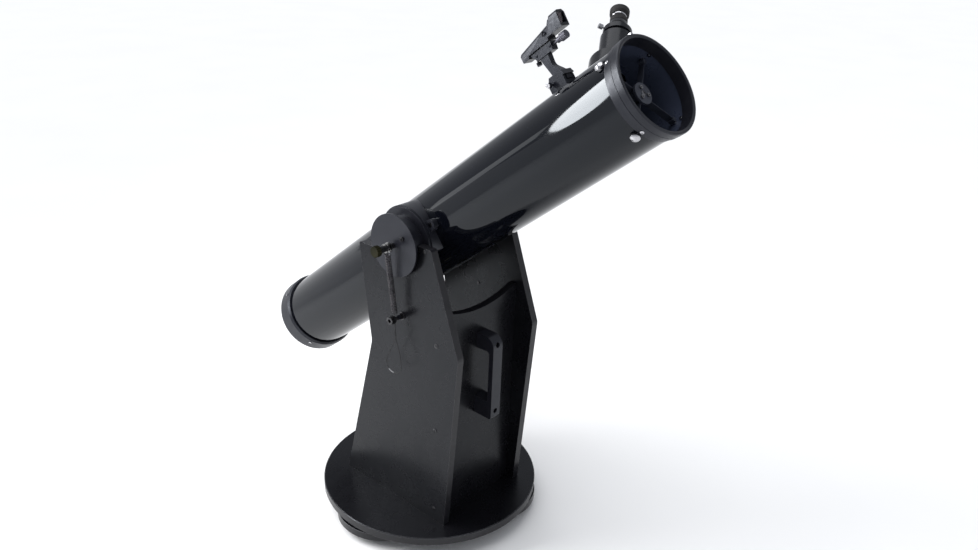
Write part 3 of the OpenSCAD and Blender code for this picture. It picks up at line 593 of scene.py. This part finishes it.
def spring_points(mirror):
    """Centre line of one tension spring, from the upper hook's tip to the lower one's."""
    top, low = (Vector((p.x * mirror, p.y, p.z)) for p in (UPPER_HOOK, LOWER_HOOK))
    down = (low - top).normalized()
    span = (low - top).length / MM
    across = square_to(down)[0]
    flat_down = Vector((0, down.y, down.z)).normalized()
    side = Vector((0, down.z, -down.y)).normalized()
    lean = across * COIL_R * 0.5
    points = hook_points(top, UPPER_HOOK_R, flat_down, side)
    points += [top + down * UPPER_NECK[0] * MM, top + (down * UPPER_NECK[1] + lean) * MM]
    points += coil_points(top, down, COIL_END, span - COIL_END, COIL_R, COILS)
    points += [low - (down * LOWER_NECK[1] - lean) * MM, low - down * LOWER_NECK[0] * MM]
    points += reversed(hook_points(low, LOWER_HOOK_R, -flat_down, side))
    return points


def add_springs(material):
    for side, mirror in (("left", 1), ("right", -1)):
        name = side + "_spring_coil"
        mesh = tube_mesh(name, spring_points(mirror), WIRE_R * MM, WIRE_SIDES)
        spring = link(name, mesh, material, "rocker")
        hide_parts("tension_springs")


def add_collimation_springs(material):
    """Three coils that push the mirror cell away from the rear ring."""
    for i, angle in enumerate((90, 210, 330)):
        turn = math.radians(angle)
        base = on_tube(COLLIMATION_OUT * math.cos(turn), COLLIMATION_OUT * math.sin(turn), 0)
        name = "collimation_coil_%d" % (i + 1)
        path = coil_points(base, TUBE_WAY, *COLLIMATION_ENDS, COLLIMATION_COIL_R, COLLIMATION_TURNS)
        mesh = tube_mesh(name, path, COLLIMATION_WIRE_R * MM, WIRE_SIDES)
        coil = link(name, mesh, material, "tube")
        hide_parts("collimation_springs")


# ---- grips ----

# Outlines as (height over the eyepiece's shoulder, radius, share of the ridges)
GRIP = [(12.5, 16.2, 0), (12.5, 16.7, 0), (13.2, 16.7, 1), (22.6, 16.7, 1), (23.3, 16.7, 0),
        (23.3, 16.2, 0)]
BAND = [(28.2, 13, 0), (28.2, 14.5, 0), (28.8, 15, 0), (30.9, 15, 0), (31.5, 14.5, 0), (31.5, 13, 0)]
GRIP_RIDGES = 48
GRIP_SIDES = 6 * GRIP_RIDGES
RIDGE_DEPTH = 0.5


def add_grips(looks):
    """The eyepiece's ridged rubber grip and the bright band over it."""
    low = on_focuser(EYEPIECE_SEAT)
    relief = ridges(GRIP_RIDGES, RIDGE_DEPTH)
    grip = turned_mesh("eyepiece_grip", low, OUTWARDS, GRIP, GRIP_SIDES, relief)
    link("eyepiece_grip", grip, looks["rubber"], "eyepiece")
    band = turned_mesh("eyepiece_band", low, OUTWARDS, BAND)
    link("eyepiece_band", band, looks["chrome"], "eyepiece")


# ---- stage and light ----

FLOOR_REACH = 30


def add_floor():
    look = surface("floor", (0.92, 0.92, 0.92), (0.94, 0.94, 0.94), (0.85, 0.95), 2,
                   Specular_IOR_Level=0.2)
    mesh = bpy.data.meshes.new("floor")
    corners = [(x * FLOOR_REACH, y * FLOOR_REACH, 0) for x, y in ((-1, -1), (1, -1), (1, 1), (-1, 1))]
    mesh.from_pydata(corners, [], [(0, 1, 2, 3)])
    mesh.materials.append(look)
    floor = bpy.data.objects.new("floor", mesh)
    bpy.context.scene.collection.objects.link(floor)


def add_softbox(name, place, target, size, brightness, long_way, shape="RECTANGLE"):
    """A soft light that looks at target, its longer side lying roughly along long_way.
    The brightness is that of its face, where white paper in full light would be 1."""
    data = bpy.data.lights.new(name, "AREA")
    data.shape = shape
    data.size, data.size_y = size
    area = size[0] * size[1] * (math.pi / 4 if shape == "ELLIPSE" else 1)
    data.energy = brightness * area * math.pi
    light = bpy.data.objects.new(name, data)
    back = (Vector(place) - Vector(target)).normalized()
    across = Vector(long_way)
    across = (across - back * across.dot(back)).normalized()
    light.matrix_world = Matrix((across, back.cross(across), back)).transposed().to_4x4()
    light.location = place
    light.visible_camera = False
    bpy.context.scene.collection.objects.link(light)


def add_ceiling():
    """Broad even light from above, a little from behind."""
    data = bpy.data.lights.new("ceiling", "SUN")
    data.energy = 1.9
    data.angle = math.radians(70)
    ceiling = bpy.data.objects.new("ceiling", data)
    ceiling.rotation_mode = "QUATERNION"
    ceiling.rotation_quaternion = Vector((-0.15, 0.35, 1)).to_track_quat("Z", "Y")
    bpy.context.scene.collection.objects.link(ceiling)


def add_lights():
    """An even studio, and two windows of light that show as patches on the glossy tube."""
    world = bpy.data.worlds.new("studio")
    world.use_nodes = True
    background = world.node_tree.nodes["Background"]
    background.inputs["Color"].default_value = (0.91, 0.94, 1, 1)
    background.inputs["Strength"].default_value = 0.55
    bpy.context.scene.world = world
    add_softbox("window", place=(-1.18, 1.2, 1.336), target=on_tube(0, 0, 560), size=(1.62, 0.36),
                brightness=27, long_way=(0.52, 0.57, 0.74), shape="ELLIPSE")
    add_softbox("far_window", place=(-1.6, 2.7, 0.97), target=PIVOT, size=(0.8, 0.45),
                brightness=1.8, long_way=(0.6, -0.3, -0.4))
    add_ceiling()


def set_colours():
    """Plain display colours, so that the white floor looks white."""
    bpy.context.scene.view_settings.view_transform = "Standard"


# ---- the object ----

add_camera()
looks = make_looks()
for side, name in ((1, "left_pull_cord"), (-1, "right_pull_cord")):
    add_cord(side, name, looks)
paint_nodes(looks)
paint_details(looks)
add_boards(looks)
add_mouldings(looks)
add_finder_shell(looks)
add_springs(looks["spring_steel"])
add_collimation_springs(looks["zinc_steel"])
add_grips(looks)
add_floor()
add_lights()
set_colours()
